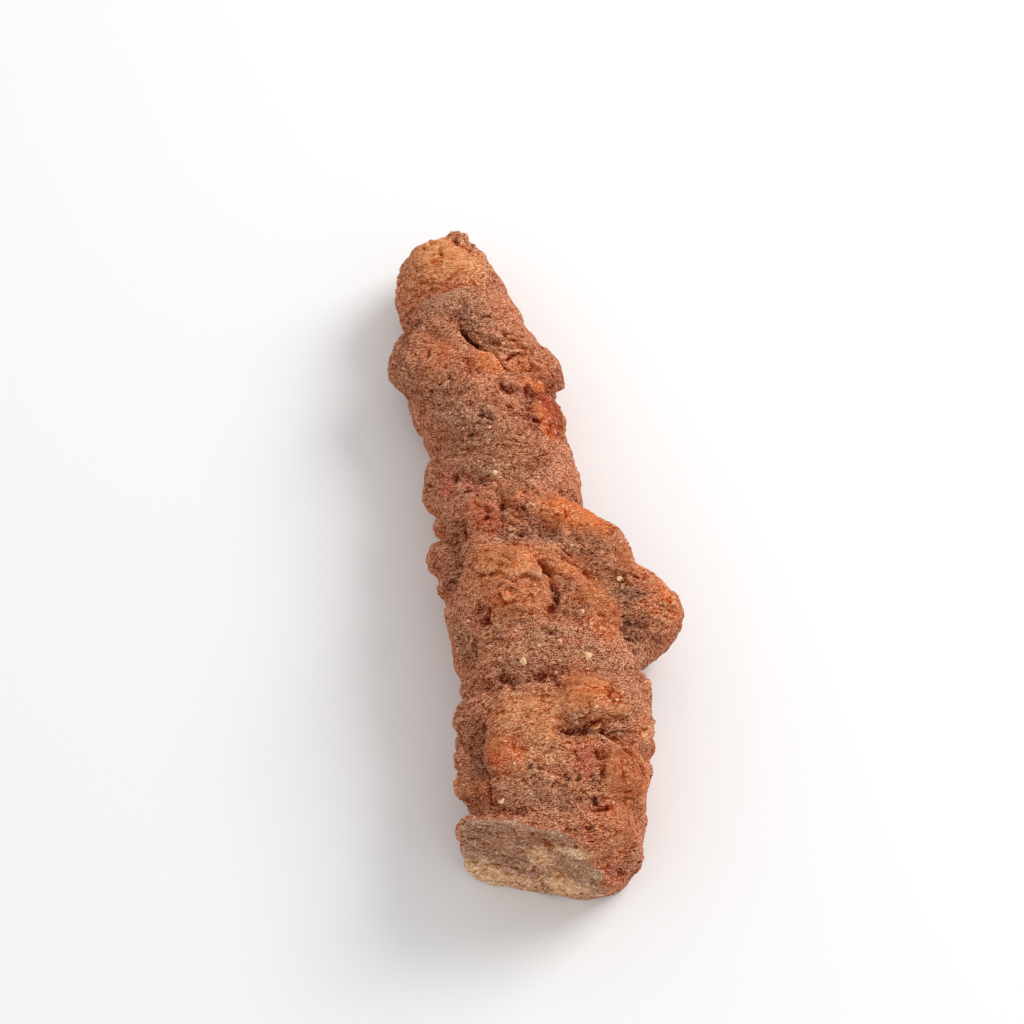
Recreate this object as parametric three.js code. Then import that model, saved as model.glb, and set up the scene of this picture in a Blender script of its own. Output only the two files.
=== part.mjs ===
// A coprolite: a fossil dropping turned to iron-rich sandstone, lying on its side.
// One stone, one solid. Millimetres, +Z up, resting on Z = 0. The thin rounded tip
// points to +Y, and the thick end towards -Y is broken across.

import * as THREE from 'three';
import { ImprovedNoise } from 'three/addons/math/ImprovedNoise.js';

// Driving dimensions.
const tipY = 57.6; // the end of the thin tip
const breakY = -63.4; // where the break crosses the middle line on the ground
const tipRounding = 10; // length over which the tip closes
const breakSlant = -0.38; // how far the break runs towards -Y for each step to +X
const breakLean = 0.08; // how far its top is set back towards +Y for each step up
const slantStartY = -30; // the rings begin to lean here, to end in the break
const bellyRatio = 0.46; // height of the widest level, as a share of the crown's
const soleSink = 1.8; // how far the round section would dip below the ground
const sectionPower = 2.3; // roundness of the section, where 2 is an ellipse
const breakPower = 4.4; // the section is squarer at the break
const breakRelief = 0.5; // roughness of the broken face
const breakGrain = 4; // length of that roughness
const skinRelief = 0.45; // small unevenness of the skin
const skinGrain = 5; // length of that unevenness
const fineGrainRatio = 2.1; // the second octave of both is this much finer
const seamWidth = 0.7; // softness where two lumps meet
const thinRadius = 6; // lumps and creases fade where the body is thinner than this
const leastShare = 0.3; // no crease leaves less than this share of the plain radius
const tipPointHeight = 0.2; // how far the closing point stands out of the first ring

// Mesh density.
const ringCount = 100;
const sectorCount = 46;
const soleSectors = 7; // sectors that cross the flat underside
const soleHalfAngle = 46; // degrees that the underside takes to each side of straight down
const faceRingCount = 7; // rings across the broken face
const tipRingShare = 0.08; // share of the rings that draw together at the tip

// The plain body before lumps and creases: y, left flank, right flank, crown height.
const stations = [
  [58, -10, 2, 15],
  [50, -12.5, 3, 16],
  [44, -13.5, 5, 17.5],
  [36, -13.5, 7.5, 18.5],
  [28, -15, 11, 19.5],
  [20, -13.5, 11, 20.5],
  [12, -12, 11.5, 20.5],
  [4, -13, 11.5, 21],
  [-4, -13, 12.5, 22.5],
  [-12, -13, 14, 24],
  [-20, -13, 15.5, 24.5],
  [-30, -13, 17, 24],
  [-40, -14, 16.5, 23],
  [-50, -14.5, 14, 22.5],
  [-57, -15.5, 12.5, 22],
  [-64, -16, 8.5, 22],
];

// Swellings of the skin. at: [y, degrees round from straight up, + towards +X],
// size: [half length along Y, half width round the body], height above the plain body,
// turn: degrees that the long side leans, edge: 0.5 is a steep rim, 2 a soft one.
const lumps = [
  { name: 'tip cap', at: [49, -10], size: [8.5, 13], height: 0.9, edge: 0.7 },
  { name: 'tip nub', at: [55, 25], size: [2.5, 3], height: 1.3, edge: 0.8 },
  { name: 'pale shoulder', at: [36, 20], size: [6.5, 11], height: 0.9, edge: 0.7 },
  { name: 'left knob', at: [31, -85], size: [6.5, 9], height: 3, edge: 0.8 },
  { name: 'right knob', at: [25, 75], size: [6.5, 7], height: 1.8, edge: 0.7 },
  { name: 'middle crown', at: [25, -20], size: [6, 9], height: 0.8, edge: 0.7 },
  { name: 'right crown', at: [15, 50], size: [6.5, 7], height: 0.8, edge: 0.8 },
  { name: 'neck crown', at: [9, -5], size: [7.5, 11], height: 0.7, edge: 0.7 },
  { name: 'left neck knob', at: [4, -80], size: [8, 11], height: 1.2, edge: 0.7 },
  { name: 'junction nub', at: [-5, 0], size: [3, 4.5], height: 1.6, edge: 0.8 },
  { name: 'left small lobe', at: [-8, -80], size: [7, 9], height: 2.2, edge: 0.8 },
  { name: 'red junction', at: [-6, -30], size: [5, 7], height: 1, edge: 0.8 },
  { name: 'orange shoulder', at: [-7, 45], size: [5.5, 9], height: 2, edge: 0.9, turn: 20 },
  { name: 'side bulge root', at: [-13, 65], size: [10, 10], height: 5, edge: 1.1, turn: 25 },
  { name: 'side bulge', at: [-22, 90], size: [9, 14], height: 9.4, edge: 0.95, turn: 5 },
  { name: 'front shoulder', at: [-19, -10], size: [9, 15], height: 1.8, edge: 0.6 },
  { name: 'front ridge', at: [-23, 35], size: [9, 4], height: 1.4, edge: 0.9, turn: -40 },
  { name: 'front left flank', at: [-22, -75], size: [8, 8], height: 0.9, edge: 0.8 },
  { name: 'front belt', at: [-31, 0], size: [5, 16], height: 0.8, edge: 0.8 },
  { name: 'boss', at: [-40, 25], size: [4.5, 6.5], height: 1.9, edge: 0.6 },
  { name: 'left rib', at: [-38, -80], size: [5, 8], height: 1.2, edge: 0.7 },
  { name: 'back rib', at: [-42, -20], size: [6, 11], height: 0.8, edge: 0.7 },
  { name: 'left foot', at: [-46, -80], size: [5, 9], height: 1.5, edge: 0.7 },
  { name: 'right rib', at: [-40, 75], size: [6, 8], height: 0.7, edge: 0.7 },
  { name: 'right foot', at: [-50, 65], size: [7, 8], height: 1, edge: 0.7 },
  { name: 'end crown', at: [-51, -10], size: [6.5, 13], height: 0.9, edge: 0.7 },
  { name: 'break lip', at: [-58, -50], size: [3.5, 12], height: 1, edge: 0.8 },
  { name: 'left belly', at: [19, -130], size: [9, 7], height: 1, edge: 0.8 },
  { name: 'right belly', at: [44, 110], size: [8, 8], height: 1.2, edge: 0.8 },
  { name: 'neck belly', at: [6, 110], size: [8, 8], height: 1.4, edge: 0.8 },
  { name: 'end belly', at: [-44, 115], size: [8, 8], height: 1.4, edge: 0.8 },
];

// Narrow valleys. path: points of [y, degrees round], width: half width, deep: depth.
const creases = [
  { name: 'tip crease', path: [[40, -80], [42, -20], [43, 50]], width: 1.5, deep: 1 },
  { name: 'crown crevice', path: [[34, -15], [29, 5], [23, 30], [24, 50], [30, 65]], width: 1.4, deep: 1.7 },
  { name: 'tip root', path: [[38, -110], [40, -60]], width: 1.4, deep: 1.2 },
  { name: 'waist left', path: [[19, -100], [21, -70], [20, -45]], width: 1.6, deep: 0.9 },
  { name: 'waist right', path: [[19, 60], [18, 110]], width: 1.6, deep: 1.1 },
  { name: 'neck notch', path: [[14, -110], [12, -55]], width: 1.9, deep: 1.5 },
  { name: 'neck ledge', path: [[5, -50], [0, -10], [4, 35]], width: 1.5, deep: 0.9 },
  { name: 'right crevice', path: [[-2, 30], [-3, 70], [-2, 110]], width: 1.7, deep: 1.8 },
  { name: 'junction crease', path: [[-1, -10], [-6, -10]], width: 1.3, deep: 1.3 },
  { name: 'shoulder hollow', path: [[-7, -40], [-10, -5], [-10, 20]], width: 1.8, deep: 1.9 },
  { name: 'left lobe crease', path: [[-2, -100], [-5, -50], [-13, -50], [-16, -90]], width: 1.6, deep: 1.4 },
  {
    name: 'bulge valley',
    path: [[-10, 20], [-20, 45], [-28, 70], [-30, 100], [-28, 125]],
    width: 1.9,
    deep: 2.2,
  },
  { name: 'shoulder crack', path: [[-16, 5], [-20, 15], [-25, 5]], width: 1.2, deep: 1.6 },
  { name: 'ridge crack', path: [[-23, 25], [-27, 20]], width: 1.1, deep: 1.2 },
  { name: 'left flank crease', path: [[-29, -110], [-26, -55]], width: 1.4, deep: 0.7 },
  { name: 'belt ledge', path: [[-34, -65], [-36, 0], [-34, 30]], width: 1.4, deep: 0.9 },
  { name: 'rib crease left', path: [[-42, -105], [-41, -50]], width: 1.3, deep: 1.1 },
  { name: 'boss crevice', path: [[-44, 5], [-45, 35], [-48, 60], [-45, 110]], width: 1.3, deep: 2.1 },
  { name: 'left channel', path: [[-43, -55], [-52, -50], [-52, -110]], width: 1.6, deep: 3 },
  { name: 'end crease', path: [[-56, -35], [-56, 40], [-58, 70]], width: 1.4, deep: 1 },
];

// Small holes. at: [y, degrees round].
const pits = [
  { name: 'flank hole', at: [-23, -40], width: 1.5, deep: 2.6 },
  { name: 'channel hole', at: [-54, -45], width: 1.6, deep: 1.8 },
  { name: 'belt hollow', at: [-35, -5], width: 2, deep: 1.2 },
  { name: 'lower pit', at: [-49, 10], width: 1.3, deep: 1.4 },
  { name: 'ridge pit', at: [-49, 30], width: 1.3, deep: 1.4 },
  { name: 'crown pit', at: [18, 20], width: 1.3, deep: 1 },
  { name: 'crown side pit', at: [18, 40], width: 1.3, deep: 1 },
  { name: 'tip notch', at: [53, 15], width: 1.3, deep: 1 },
  { name: 'worn corner', at: [-68, 60], width: 7, deep: 6 },
];

const noise = new ImprovedNoise();
const { lerp, clamp, smoothstep, degToRad } = THREE.MathUtils;

// Smooth reading of one station column at any y.
function readStations(y, column) {
  const next = clamp(stations.findIndex((station) => station[0] < y), 1, stations.length - 1);
  const [before, after] = [stations[next - 1], stations[next]];
  return lerp(before[column], after[column], smoothstep(before[0] - y, 0, before[0] - after[0]));
}

// The body's plain section at y: centre, half width and half height, closing at the tip.
function sectionAt(y) {
  const left = readStations(y, 1);
  const right = readStations(y, 2);
  const crown = readStations(y, 3);
  const belly = crown * bellyRatio;
  const toTip = clamp((tipY - y) / tipRounding, 0, 1);
  const closing = Math.sqrt(1 - (1 - toTip) ** 2);
  return {
    x: (left + right) / 2,
    z: belly,
    halfWidth: ((right - left) / 2) * closing,
    above: (crown - belly) * closing,
    below: (belly + soleSink) * closing,
    power: lerp(breakPower, sectionPower, smoothstep(y, breakY, slantStartY)),
  };
}

// Offset from one surface place to another: along Y, and round the body as arc length.
function surfaceOffset(y, turn, place, radius) {
  const round = THREE.MathUtils.euclideanModulo(turn - place[1] + 180, 360) - 180;
  return [y - place[0], degToRad(round) * radius];
}

// Height that the lumps add at a place: the tallest one wins, with a soft seam between.
function lumpHeight(y, turn, radius) {
  let total = 0;
  for (const lump of lumps) {
    const [along, round] = surfaceOffset(y, turn, lump.at, radius);
    const lean = degToRad(lump.turn ?? 0);
    const a = along * Math.cos(lean) + round * Math.sin(lean);
    const b = round * Math.cos(lean) - along * Math.sin(lean);
    const reach = (a / lump.size[0]) ** 2 + (b / lump.size[1]) ** 2;
    if (reach >= 1) continue;
    const own = lump.height * (1 - reach) ** lump.edge;
    total = (total + own + Math.hypot(total - own, seamWidth) - seamWidth) / 2;
  }
  return total;
}

// Distance from a surface place to a crease's path.
function pathDistance(y, turn, path, radius) {
  const points = path.map((place) => surfaceOffset(y, turn, place, radius));
  let nearest = Infinity;
  for (let i = 1; i < points.length; i++) {
    const [p, q] = [points[i - 1], points[i]];
    const [dx, dy] = [q[0] - p[0], q[1] - p[1]];
    const share = clamp(-(p[0] * dx + p[1] * dy) / (dx * dx + dy * dy), 0, 1);
    nearest = Math.min(nearest, Math.hypot(p[0] + dx * share, p[1] + dy * share));
  }
  return nearest;
}

// Depth that creases and pits take away at a place.
function hollowDepth(y, turn, radius) {
  let depth = 0;
  for (const { path, width, deep } of creases) {
    const away = pathDistance(y, turn, path, radius) / width;
    depth += deep * Math.exp(-away * away);
  }
  for (const { at, width, deep } of pits) {
    const away = Math.hypot(...surfaceOffset(y, turn, at, radius)) / width;
    depth += deep * Math.exp(-away * away);
  }
  return depth;
}

// Two octaves of smooth noise at a point.
function roughness(x, y, z, grain) {
  const fine = grain / fineGrainRatio;
  return noise.noise(x / grain, y / grain, z / grain) + 0.5 * noise.noise(x / fine, y / fine, z / fine);
}

// One point of the skin. Towards the break the ring leans, so its y changes with x and z.
function skinPoint(ringY, turn) {
  const leaning = 1 - smoothstep(ringY, breakY, slantStartY);
  const leanAt = (x, z) => leaning * (breakSlant * x + breakLean * z);
  const [sin, cos] = [Math.sin(degToRad(turn)), Math.cos(degToRad(turn))];
  const section = sectionAt(ringY);
  const half = cos > 0 ? section.above : section.below;
  const across = (Math.abs(sin) / section.halfWidth) ** section.power;
  const upright = (Math.abs(cos) / half) ** section.power;
  const plain = (across + upright) ** (-1 / section.power);

  // Lumps and hollows are placed by the real y of the point on the leaning ring.
  const y = ringY + leanAt(section.x + sin * plain, section.z + cos * plain);
  const girth = (section.halfWidth + section.above) / 2;
  const fullness = clamp(plain / thinRadius, 0, 1);
  const wobble = skinRelief * roughness(sin * plain, y, cos * plain, skinGrain);
  const raised = lumpHeight(y, turn, girth) - hollowDepth(y, turn, girth) + wobble;
  let radius = Math.max(plain + fullness * raised, leastShare * plain);

  const toGround = cos < 0 ? section.z / -cos : Infinity;
  const grounded = radius >= toGround;
  if (grounded) radius = toGround;
  const x = section.x + sin * radius;
  const z = grounded ? 0 : section.z + cos * radius;
  return [x, ringY + leanAt(x, z), z];
}

// Angles of the ring's corners, closer together above than across the underside.
function sectorAngles() {
  const upper = sectorCount - soleSectors;
  const start = soleHalfAngle - 180;
  const angles = [];
  for (let i = 0; i < upper; i++) angles.push(start + ((360 - 2 * soleHalfAngle) * i) / upper);
  for (let i = 0; i < soleSectors; i++) {
    angles.push(180 - soleHalfAngle + (2 * soleHalfAngle * i) / soleSectors);
  }
  return angles;
}

// Positions of the rings along Y, closer together round the tip.
function ringPositions() {
  const positions = [];
  for (let i = 0; i < ringCount; i++) {
    const share = (i + 0.5) / (ringCount - 0.5);
    const eased = share < tipRingShare
      ? share ** 2 / (2 * tipRingShare)
      : share - tipRingShare / 2;
    positions.push(lerp(tipY, breakY, eased / (1 - tipRingShare / 2)));
  }
  return positions;
}

function buildStone() {
  const vertices = [];
  const triangles = [];
  const angles = sectorAngles();

  // Skin rings from the tip to the break.
  for (const ringY of ringPositions()) {
    for (const turn of angles) vertices.push(skinPoint(ringY, turn));
  }

  // Rings across the broken face, shrinking to its middle.
  const rim = vertices.slice(-sectorCount);
  const centre = [0, 1, 2].map((axis) => rim.reduce((sum, p) => sum + p[axis], 0) / sectorCount);
  for (let ring = 1; ring < faceRingCount; ring++) {
    const share = 1 - ring / faceRingCount;
    for (const point of rim) {
      const [x, y, z] = [0, 1, 2].map((axis) => lerp(centre[axis], point[axis], share));
      vertices.push([x, y + breakRelief * roughness(x, 0, z, breakGrain), z]);
    }
  }

  // Sides between neighbouring rings.
  const allRings = ringCount + faceRingCount - 1;
  for (let ring = 0; ring < allRings - 1; ring++) {
    for (let sector = 0; sector < sectorCount; sector++) {
      const next = (sector + 1) % sectorCount;
      const [a, b] = [ring * sectorCount + sector, ring * sectorCount + next];
      const [c, d] = [a + sectorCount, b + sectorCount];
      triangles.push(a, c, b, b, c, d);
    }
  }

  // Closing fans at the tip and in the middle of the broken face.
  const tip = vertices.push([sectionAt(tipY).x, tipY + tipPointHeight, sectionAt(tipY).z]) - 1;
  const heart = vertices.push(centre) - 1;
  const lastRing = (allRings - 1) * sectorCount;
  for (let sector = 0; sector < sectorCount; sector++) {
    const next = (sector + 1) % sectorCount;
    triangles.push(tip, sector, next);
    triangles.push(heart, lastRing + next, lastRing + sector);
  }

  const geometry = new THREE.BufferGeometry();
  geometry.setAttribute('position', new THREE.Float32BufferAttribute(vertices.flat(), 3));
  geometry.setIndex(triangles);

  // The origin is the middle of the underside of the stone's box.
  geometry.computeBoundingBox();
  const { min, max } = geometry.boundingBox;
  geometry.translate(-(min.x + max.x) / 2, -(min.y + max.y) / 2, -min.z);
  geometry.computeVertexNormals();
  return geometry;
}

const stoneMaterial = new THREE.MeshStandardMaterial({
  color: 0xa6684a,
  roughness: 0.9,
  metalness: 0,
});

const group = new THREE.Group();
const coprolite = new THREE.Mesh(buildStone(), stoneMaterial);
coprolite.name = 'coprolite';
group.add(coprolite);

export default group;
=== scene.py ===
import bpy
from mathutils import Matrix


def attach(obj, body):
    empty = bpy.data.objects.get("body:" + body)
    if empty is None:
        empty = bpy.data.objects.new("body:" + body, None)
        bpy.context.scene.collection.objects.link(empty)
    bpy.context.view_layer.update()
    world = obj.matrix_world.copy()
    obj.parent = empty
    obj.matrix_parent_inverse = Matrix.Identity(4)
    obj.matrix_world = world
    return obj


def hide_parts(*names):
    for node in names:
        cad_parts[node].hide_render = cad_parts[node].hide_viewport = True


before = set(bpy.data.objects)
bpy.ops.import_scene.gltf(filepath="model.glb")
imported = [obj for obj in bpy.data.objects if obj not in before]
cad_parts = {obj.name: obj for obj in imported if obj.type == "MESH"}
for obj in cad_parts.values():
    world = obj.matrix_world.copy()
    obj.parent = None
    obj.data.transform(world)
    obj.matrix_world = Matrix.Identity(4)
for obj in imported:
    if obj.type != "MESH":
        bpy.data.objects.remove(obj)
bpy.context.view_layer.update()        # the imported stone, which stays as it is

import math
import random

import bmesh
import bpy
import numpy as np
from mathutils import Vector, noise
from mathutils.bvhtree import BVHTree

mm = 0.001               # lists below are in millimetres, Blender works in metres
meanRadius = 13          # of the stone, which turns degrees round it into a length
outsideReach = 60        # farther from the middle line than any skin
pathStep = 0.4           # between the points of a path
fadeShare = 0.2          # how much of a path fades out at each end
random.seed(7)

# the stone's middle line as (y, x, z), from the broken end to the tip
middleLine = np.array([
    (-62, -7, 10), (-45, -3.5, 10.5), (-25, -1.5, 11), (5, -4, 10), (40, -6.5, 8.5), (60, -8, 7),
])

# a place on the skin is (y, degrees round the middle line from straight up, + towards +X)

stoneSettings = {
    "coarseVoxel": 0.36,       # mesh fineness while the folds and cracks are cut
    "fineVoxel": 0.29,         # mesh fineness for the texture
    "smoothing": 8,            # rounds that take the facets off the blank
    "foldFacing": 12,          # rounds that even out the skin's facing for folds, and for cracks
    "crackFacing": 6,
    "triangles": 192000,
    "swell": (9, 0.4),         # size and height of the broad unevenness
    "knuckle": (3.6, 0.32),    # size and height of the small lumps
    "wrinkle": (1.1, 5.0, 0.55),   # width, length and depth of the creases round the stone
    "flake": (2.6, 4.6, 2.6),  # width, length and tilt of the chips, and of the small chips
    "chip": (1.2, 1.8, 1.0),
    "groove": (0.07, 0.45),    # width, as a share of the chip, and depth between chips
    "crumb": (1.5, 0.32),      # size and height of the crumbs, and of the grit on them
    "grit": (0.7, 0.26),
    "pit": (1.1, 0.2),         # size and depth of the pores
}

# how far the creases slant from straight across, by y
creaseSlant = {"y": (-60, -25, -10, 5, 15, 35, 50), "slant": (0.05, 0.1, 0.6, 0.3, 0.2, 0.6, 0.1)}

# the plane of the break: its y on the middle line, and how it runs with x and with height
breakPlane = {
    "y": -60.4, "perX": -0.38, "perZ": 0.08, "edge": 1.6, "left": -20, "right": 2.5,
    "wave": (4, 1.2),          # size and height of its edge's waviness
}

# the line that the foot of the break keeps to, as y by x
footLine = {
    "x": (-20, -10, -6, -0.5, 3, 4.5, 7.5),
    "y": (-57, -58.5, -58, -59.5, -60, -59.5, -57),
    "perZ": -0.15,
}


def smoothStep(value, low, high):
    share = np.clip((value - low) / (high - low), 0, 1)
    return share * share * (3 - 2 * share)


def readArray(items, name, width, kind=np.float32):
    values = np.empty(len(items) * width, kind)
    items.foreach_get(name, values)
    return values.reshape(-1, width)


def fractalField(points, size, octaves=3, shift=0.0):
    rows = (points / size + shift).tolist()
    return np.array([noise.fractal(row, 0.9, 2.1, octaves) for row in rows])


class Skin:
    # the stone's surface as arrays in millimetres, with strokes that shape it

    def __init__(self, piece):
        self.piece = piece
        self.mesh = piece.data
        self.points = readArray(self.mesh.vertices, "co", 3).astype(float) / mm
        self.edges = readArray(self.mesh.edges, "vertices", 2, np.int32)
        self.degree = np.bincount(self.edges.ravel(), minlength=len(self.points))
        self.ragged = 1 + 0.5 * fractalField(self.points, 1.3, 2, 5.3)
        self.refresh(stoneSettings["foldFacing"])

    def averaged(self, values, rounds, strength=0.5):
        first, second = self.edges.T
        count = len(self.degree)
        for _ in range(rounds):
            total = np.empty_like(values)
            for axis in range(values.shape[1]):
                column = values[:, axis]
                total[:, axis] = np.bincount(first, column[second], count)
                total[:, axis] += np.bincount(second, column[first], count)
            values = values + strength * (total / self.degree[:, None] - values)
        return values

    def refresh(self, rounds):
        self.mesh.vertices.foreach_set("co", (self.points * mm).astype(np.float32).ravel())
        self.mesh.update()
        own = readArray(self.mesh.vertices, "normal", 3).astype(float)
        normals = self.averaged(own, rounds)
        self.normals = normals / np.linalg.norm(normals, axis=1)[:, None]
        bpy.context.view_layer.update()
        self.tree = BVHTree.FromObject(self.piece, bpy.context.evaluated_depsgraph_get())

    def onSkin(self, place):
        y, turn = place[0], math.radians(place[1])
        x, z = (np.interp(y, middleLine[:, 0], middleLine[:, i]) for i in (1, 2))
        out = Vector((math.sin(turn), 0, math.cos(turn)))
        middle = Vector((x, y, z)) * mm
        hit = self.tree.ray_cast(middle + out * outsideReach * mm, -out)[0]
        if hit is None:
            hit = self.tree.find_nearest(middle)[0]
        return np.array(hit) / mm

    def pathOnSkin(self, places, wobble):
        # a crooked line of close points on the skin through the places
        points = []
        for start, end in zip(places, places[1:]):
            length = math.hypot(end[0] - start[0], math.radians(end[1] - start[1]) * meanRadius)
            steps = max(2, round(length / pathStep))
            for step in range(steps):
                share = step / steps
                y = start[0] + (end[0] - start[0]) * share
                turn = start[1] + (end[1] - start[1]) * share
                bend = noise.noise_vector((y / 1.6, turn / 7, 0.5))
                points.append(self.onSkin((y + wobble * bend[0], turn + wobble * 5 * bend[1])))
        points.append(self.onSkin(places[-1]))
        return np.array(points)

    def near(self, path, reach):
        inside = (self.points > path.min(0) - reach) & (self.points < path.max(0) + reach)
        picked = np.where(inside.all(1))[0]
        gaps = np.linalg.norm(self.points[picked, None] - path[None], axis=2)
        nearest = gaps.argmin(1)
        gap = gaps[np.arange(len(picked)), nearest]
        close = gap < reach
        return picked[close], gap[close], nearest[close]

    def carve(self, places, wide, deep, wobble=0.5, edge=1.5):
        # a crack or valley along the places
        path = self.pathOnSkin(places, wobble)
        picked, gap, nearest = self.near(path, wide * 3.4)
        along = nearest / max(len(path) - 1, 1)
        taper = np.clip(np.minimum(along, 1 - along) / fadeShare, 0.25, 1)
        ragged = 0.6 + 0.4 * self.ragged[picked]
        fall = taper * np.exp(-((gap * ragged / wide) ** edge))
        self.points[picked] -= self.normals[picked] * (deep * fall)[:, None]
        return picked, fall

    def pit(self, place, wide, deep):
        path = self.onSkin(place)[None]
        picked, gap, _ = self.near(path, wide * 3)
        fall = np.exp(-((gap * self.ragged[picked] ** 2 / wide) ** 2))
        self.points[picked] -= self.normals[picked] * (deep * fall)[:, None]
        return picked, fall

    def ledge(self, places, reach, high):
        # lifts the side to the left of the path's run, so that it ends in a small step
        path = self.pathOnSkin(places, 0.5)
        picked, gap, nearest = self.near(path, reach * 2.5)
        run = np.gradient(path, axis=0)[nearest]
        side = np.cross(self.normals[picked], run)
        side /= np.linalg.norm(side, axis=1)[:, None]
        left = np.einsum("ij,ij->i", side, self.points[picked] - path[nearest])
        along = nearest / (len(path) - 1)
        taper = np.clip(np.minimum(along, 1 - along) / fadeShare, 0, 1)
        rise = smoothStep(left, -0.25, 0.25)
        lift = high * (rise * np.exp(-gap / reach) - 0.7 * (1 - rise) * np.exp(-gap / (0.4 * reach)))
        self.points[picked] += self.normals[picked] * (lift * taper)[:, None]

    def swell(self, place, size, high):
        # a low rounded lump
        path = self.onSkin(place)[None]
        picked, gap, _ = self.near(path, size * 1.5)
        share = np.clip(1 - (gap * (0.6 + 0.4 * self.ragged[picked]) / size) ** 2, 0, 1)
        self.points[picked] += self.normals[picked] * (high * share ** 0.9)[:, None]

    def blotch(self, spots):
        # ragged patches as one value per point, from (path, reach, strength)
        values = np.zeros(len(self.points))
        for places, size, strength in spots:
            path = self.pathOnSkin(places, 0.6)
            picked, gap, _ = self.near(path, size * 1.8)
            warped = gap * (0.4 + 0.6 * self.ragged[picked]) / size
            fall = strength * smoothStep(-warped, -1.35, -0.4)
            values[picked] = np.maximum(values[picked], fall)
        return values

    def store(self, name, values):
        attribute = self.mesh.attributes.new(name, "FLOAT", "POINT")
        attribute.data.foreach_set("value", values.astype(np.float32))


def applyModifiers(piece):
    bpy.context.view_layer.update()
    depsgraph = bpy.context.evaluated_depsgraph_get()
    mesh = bpy.data.meshes.new_from_object(piece.evaluated_get(depsgraph))
    piece.modifiers.clear()
    piece.data = mesh


def evenMesh(piece, voxel, rounds):
    # the same shape in small squares of one size
    remesh = piece.modifiers.new("remesh", "REMESH")
    remesh.mode = "VOXEL"
    remesh.voxel_size = voxel * mm
    smooth = piece.modifiers.new("smooth", "SMOOTH")
    smooth.factor = 0.5
    smooth.iterations = rounds
    applyModifiers(piece)


def makeBlank():
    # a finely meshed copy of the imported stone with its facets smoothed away
    blank = bpy.data.objects.new("stone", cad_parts["coprolite"].data.copy())
    bpy.context.collection.objects.link(blank)
    weld = blank.modifiers.new("weld", "WELD")
    weld.merge_threshold = 1e-6
    evenMesh(blank, stoneSettings["coarseVoxel"], stoneSettings["smoothing"])
    blank.data.materials.clear()
    return blank


# soft valleys between folds: path, half width, depth
folds = [
    ([(46, -45), (46, -10), (46, 35)], 1.2, 0.6),                  # under the tip's cap
    ([(45, -60), (44, -45), (43.5, -35)], 0.9, 0.9),
    ([(2, -80), (-3, -55), (-9, -50), (-11, -60), (-10, -80)], 1.2, 1.3),    # round the left lobe
    ([(-16, 45), (-20, 50), (-25, 60), (-28, 75), (-28, 95)], 1.3, 0.9),     # under the side bulge
    ([(41, -70), (35, -55)], 1.0, 0.8),
    ([(29, -80), (26, -60)], 1.0, 0.6),
    ([(10, -60), (5, -15), (8, 30)], 1.0, 0.6),                    # across the neck
    ([(-28, -65), (-31, -25), (-31, 10)], 1.1, 0.4),               # over the belt
    ([(37, -10), (33, 0), (31, 10), (28, 20)], 0.8, 1.1),          # the crown's crevice
    ([(-38, -55), (-42, -55), (-46, -50), (-50, -45)], 1.1, 1.2),  # the channel on the left
    ([(-50, -50), (-48, -75), (-46.5, -90), (-44, -115), (-41.5, -135)], 2.4, 2),    # its notch
    ([(-50, -50), (-48, -75), (-46.5, -90), (-44, -115), (-41.5, -135)], 1.1, 5.5),
    ([(27, -60), (30, -90), (34.5, -130)], 2.8, 1.4),              # hollows down the left flank
    ([(3.5, -65), (5.5, -90), (10, -130)], 1.4, 1.4),
    ([(-8.5, -65), (-6.5, -90), (-2, -130)], 1.6, 1.4),
    ([(-20, -65), (-18, -90), (-14, -130)], 3, 0.9),
    ([(-31, -65), (-28.5, -90), (-24, -130)], 1.8, 1.1),
    ([(-36, -65), (-34, -90), (-29, -130)], 1.2, 1.0),
    ([(-42, -65), (-40, -90), (-35, -130)], 1.2, 1.1),
    ([(23.5, 65), (26, 90), (30.5, 130)], 1.8, 1.2),               # and down the right flank
    ([(-1.5, 70), (1, 90), (5, 130)], 1.3, 1.2),
    ([(-4.5, 70), (-2, 90), (2, 130)], 1.0, 0.8),
    ([(-15.5, 70), (-12.5, 90), (-8, 130)], 1.5, 1.6),
]

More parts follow.
